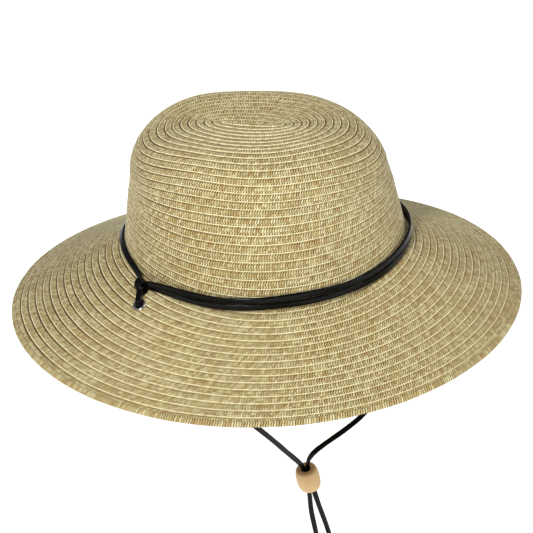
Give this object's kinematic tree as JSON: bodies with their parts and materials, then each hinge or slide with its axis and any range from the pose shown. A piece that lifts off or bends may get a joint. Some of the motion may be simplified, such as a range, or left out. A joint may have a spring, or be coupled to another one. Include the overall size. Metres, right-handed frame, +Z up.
{
  "type": "straw sun hat",
  "caption": "Wide-brimmed straw sun hat sewn from a spiral of paper braid, with a black lace hatband, eyelets and a hanging chin cord with a sliding wooden bead.",
  "frame": {"origin": "middle of the head opening, at the mean height of the crown's base", "axes": "+Z up, the front of the brim towards -Y, the wearer's left towards +X"},
  "size_m": [0.339, 0.364, 0.3967],
  "materials": {
    "straw_braid": "natural paper straw braid, matt with a slight sheen",
    "straw_edge": "folded and overstitched paper straw braid",
    "brim_wire": "plain spring wire",
    "sweatband_cloth": "woven cotton tape",
    "black_lace": "glossy flat faux leather lace",
    "eyelet_metal": "polished nickel",
    "bead_wood": "plain sanded light wood"
  },
  "bodies": {
    "hat": {"crown_braid": "straw_braid", "brim_braid": "straw_braid", "brim_edge_braid": "straw_edge", "brim_edge_wire": "brim_wire", "sweatband": "sweatband_cloth", "hatband_lower": "black_lace", "hatband_upper": "black_lace", "hatband_back": "black_lace", "hatband_knot_left": "black_lace", "hatband_knot_right": "black_lace", "eyelet_left": "eyelet_metal", "eyelet_right": "eyelet_metal", "eyelet_washer_left": "eyelet_metal", "eyelet_washer_right": "eyelet_metal", "lace_riser_left": "black_lace", "lace_riser_right": "black_lace"},
    "chin_loop": {"chin_leg_left": "black_lace", "chin_leg_right": "black_lace", "chin_tail_left": "black_lace", "chin_tail_right": "black_lace", "tail_knot_left": "black_lace", "tail_knot_right": "black_lace"},
    "bead": {"wood_bead": "bead_wood"}
  },
  "joints": [
    {"name": "chin_cord_swing", "type": "hinge", "parent": "hat", "child": "chin_loop", "pos_m": [0.06658, -0.086, -0.01145], "axis": [-0.6123, 0.7905, -0.0147], "range_deg": [-60, 60]},
    {"name": "bead_slide", "type": "slide", "parent": "chin_loop", "child": "bead", "axis": [0.1273, -0.1644, 0.9781], "range_m": [-0.045, 0.09], "deforming": ["chin_leg_left", "chin_leg_right", "chin_tail_left", "chin_tail_right"]}
  ]
}
